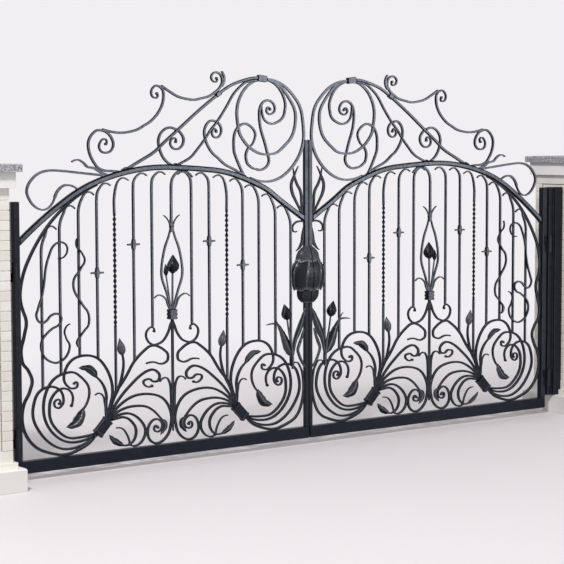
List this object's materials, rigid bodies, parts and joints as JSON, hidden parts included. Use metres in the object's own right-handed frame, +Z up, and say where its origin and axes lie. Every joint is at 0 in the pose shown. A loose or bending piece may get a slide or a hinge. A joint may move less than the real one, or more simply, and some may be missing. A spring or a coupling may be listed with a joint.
{
  "type": "wrought iron driveway gate",
  "caption": "Double-leaf arched driveway gate of scrolled wrought iron with twisted pickets and a flower lock cover, hinged on two capped brick pillars.",
  "frame": {"origin": "centre of the underside of the left pillar's plinth, on the ground", "axes": "+Z up, +X along the gate from the left pillar to the right one, -Y towards the side on which the hinges stand and to which the leaves open"},
  "size_m": [6.05, 0.64, 2.6032],
  "materials": {
    "plinth_stone": "smooth pale render over a masonry base",
    "brick": "cream brick with pale mortar joints",
    "cornice_render": "smooth white render",
    "cap_stone": "fine-grained grey stone slab",
    "post_steel": "satin black paint",
    "hinge_steel": "satin black paint, worn at the bearings",
    "frame_steel": "satin graphite paint",
    "wrought_iron": "hammered bars under satin graphite paint",
    "forged_ornament": "forged leaves and buds under satin graphite paint"
  },
  "bodies": {
    "posts": {"left_plinth": "plinth_stone", "left_shaft": "brick", "left_cornice": "cornice_render", "left_cap": "cap_stone", "left_hinge_post": "post_steel", "left_hinge_pins": "hinge_steel", "right_plinth": "plinth_stone", "right_shaft": "brick", "right_cornice": "cornice_render", "right_cap": "cap_stone", "right_hinge_post": "post_steel", "right_hinge_pins": "hinge_steel"},
    "left_leaf": {"left_hinge_stile": "frame_steel", "left_meeting_stile": "frame_steel", "left_bottom_rail": "frame_steel", "left_arch_rail": "wrought_iron", "left_wave_bar": "wrought_iron", "left_plain_bars": "wrought_iron", "left_knuckle_bars": "wrought_iron", "left_twisted_bars": "wrought_iron", "left_bouquet_collars": "wrought_iron", "left_bouquet_leaves": "forged_ornament", "left_centre_scrolls": "wrought_iron", "left_tulip_basket": "forged_ornament", "left_crest_rails": "wrought_iron", "left_crest_ovals": "wrought_iron", "left_crest_scrolls": "wrought_iron", "left_crest_loops": "wrought_iron", "left_hinge_ribbon": "wrought_iron", "left_lily_spray": "forged_ornament", "left_top_lily": "forged_ornament", "left_lock_cover": "forged_ornament", "left_hinge_sockets": "hinge_steel", "left_hinge_bouquet": "wrought_iron", "left_middle_bouquet": "wrought_iron"},
    "right_leaf": {"right_hinge_stile": "frame_steel", "right_meeting_stile": "frame_steel", "right_bottom_rail": "frame_steel", "right_arch_rail": "wrought_iron", "right_wave_bar": "wrought_iron", "right_plain_bars": "wrought_iron", "right_knuckle_bars": "wrought_iron", "right_twisted_bars": "wrought_iron", "right_bouquet_collars": "wrought_iron", "right_bouquet_leaves": "forged_ornament", "right_centre_scrolls": "wrought_iron", "right_tulip_basket": "forged_ornament", "right_crest_rails": "wrought_iron", "right_crest_ovals": "wrought_iron", "right_crest_scrolls": "wrought_iron", "right_crest_loops": "wrought_iron", "right_hinge_ribbon": "wrought_iron", "right_lily_spray": "forged_ornament", "right_top_lily": "forged_ornament", "right_lock_cover": "forged_ornament", "right_hinge_sockets": "hinge_steel", "right_hinge_bouquet": "wrought_iron", "right_middle_bouquet": "wrought_iron"}
  },
  "joints": [
    {"name": "left_leaf_swing", "type": "hinge", "parent": "posts", "child": "left_leaf", "pos_m": [0.3915, -0.044, 0.28], "axis": [0, 0, -1], "range_deg": [0, 90]},
    {"name": "right_leaf_swing", "type": "hinge", "parent": "posts", "child": "right_leaf", "pos_m": [5.0185, -0.044, 0.28], "axis": [0, 0, 1], "range_deg": [0, 90]}
  ]
}
